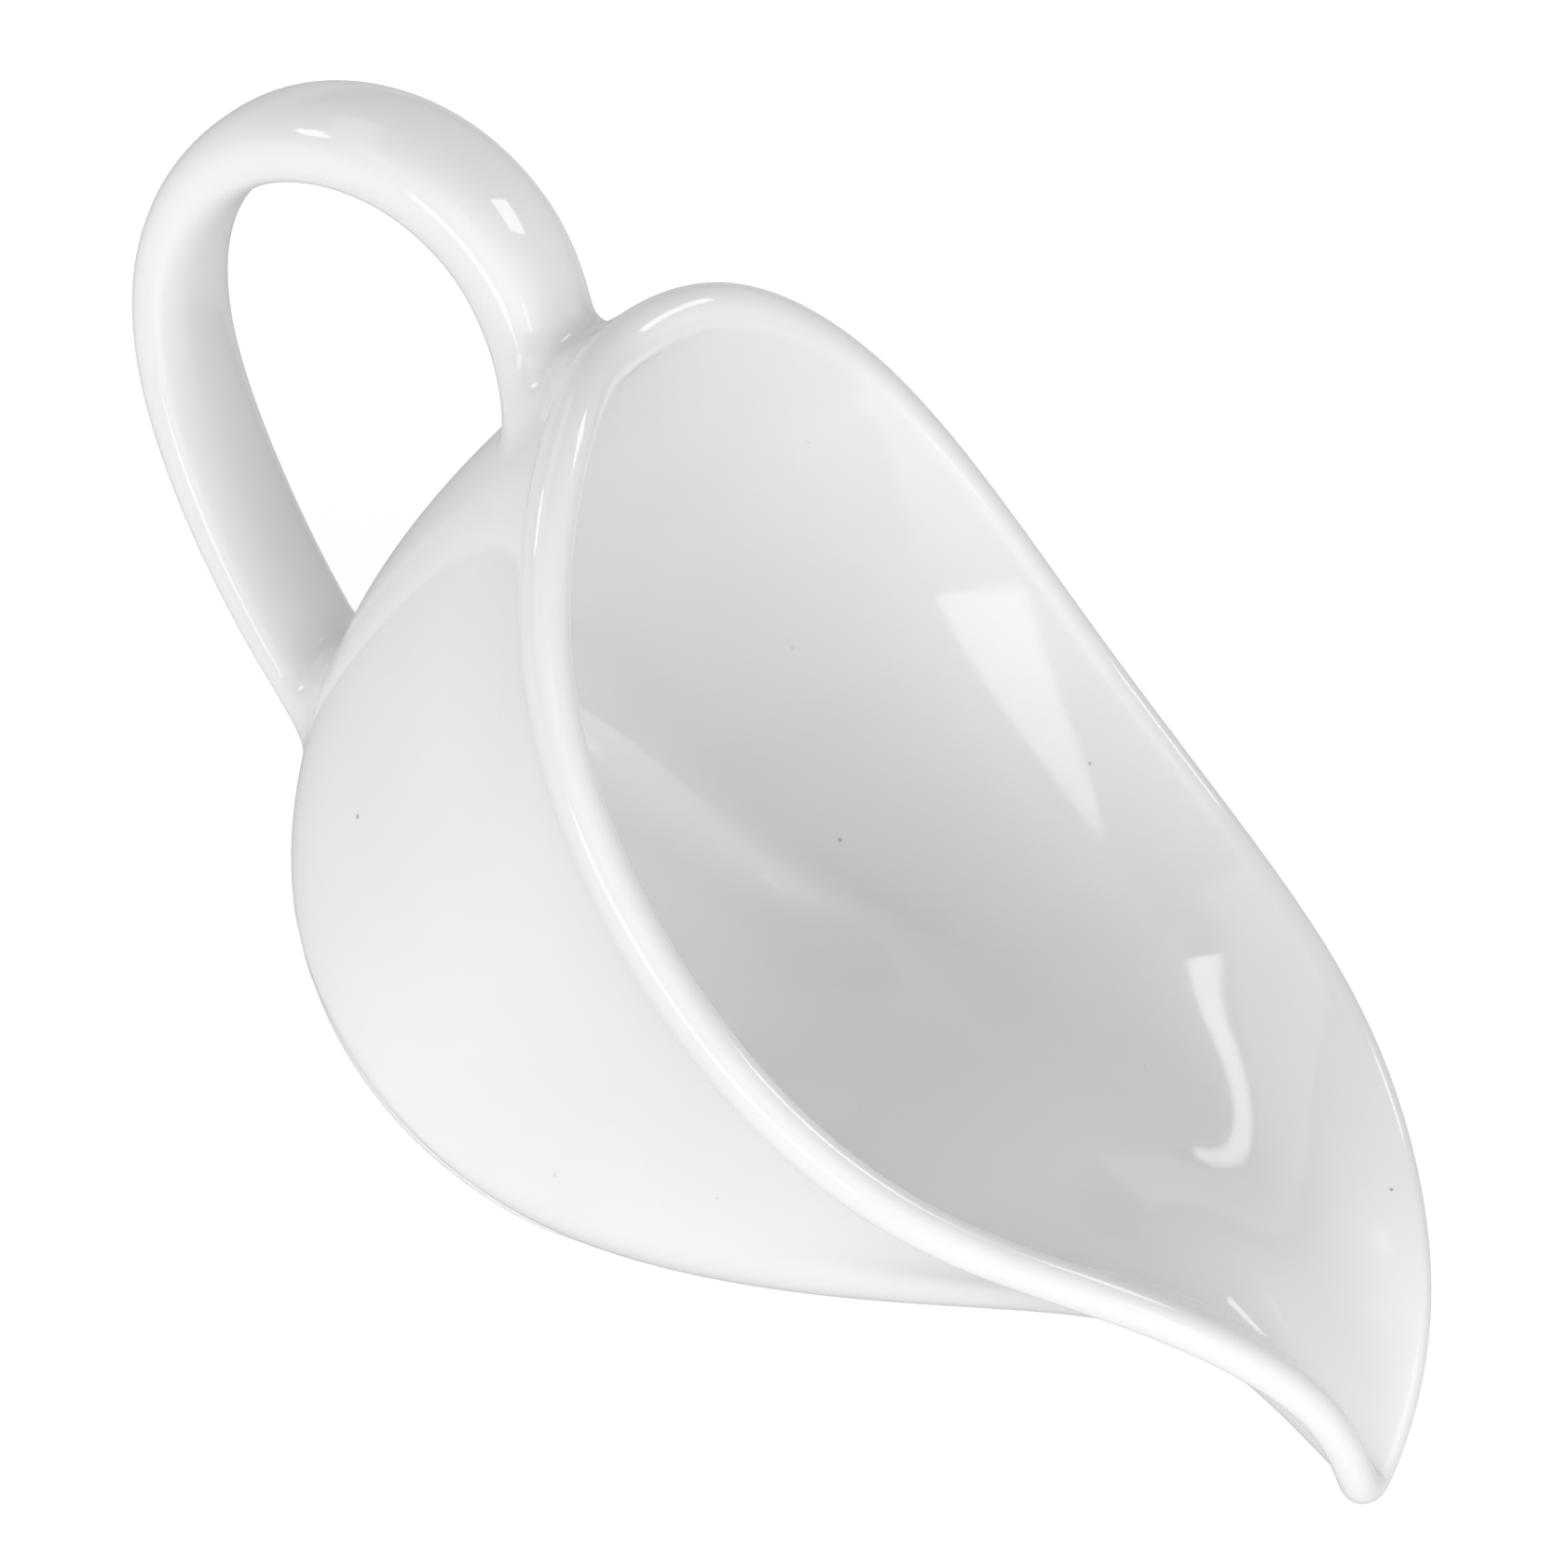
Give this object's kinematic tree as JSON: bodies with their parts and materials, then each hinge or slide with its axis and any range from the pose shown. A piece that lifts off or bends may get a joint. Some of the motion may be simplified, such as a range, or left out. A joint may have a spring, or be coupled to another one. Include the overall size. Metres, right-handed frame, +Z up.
{
  "type": "sauce boat",
  "caption": "Porcelain sauce boat: a helmet-shaped bowl drawn out to a curled pouring spout, with a loop handle and a low foot ring.",
  "frame": {"origin": "on the ground under the middle of the boat's overall length, handle and spout together", "axes": "+X towards the spout, +Y to the boat's left with the spout ahead, +Z up"},
  "size_m": [0.2078, 0.1034, 0.0794],
  "materials": {
    "glaze": "clear glossy glaze over white porcelain",
    "bisque": "unglazed, ground smooth"
  },
  "bodies": {
    "root": {"bowl": "glaze", "foot_ring": "bisque", "handle": "glaze", "upper_handle_joint": "glaze", "lower_handle_joint": "glaze"}
  },
  "joints": []
}
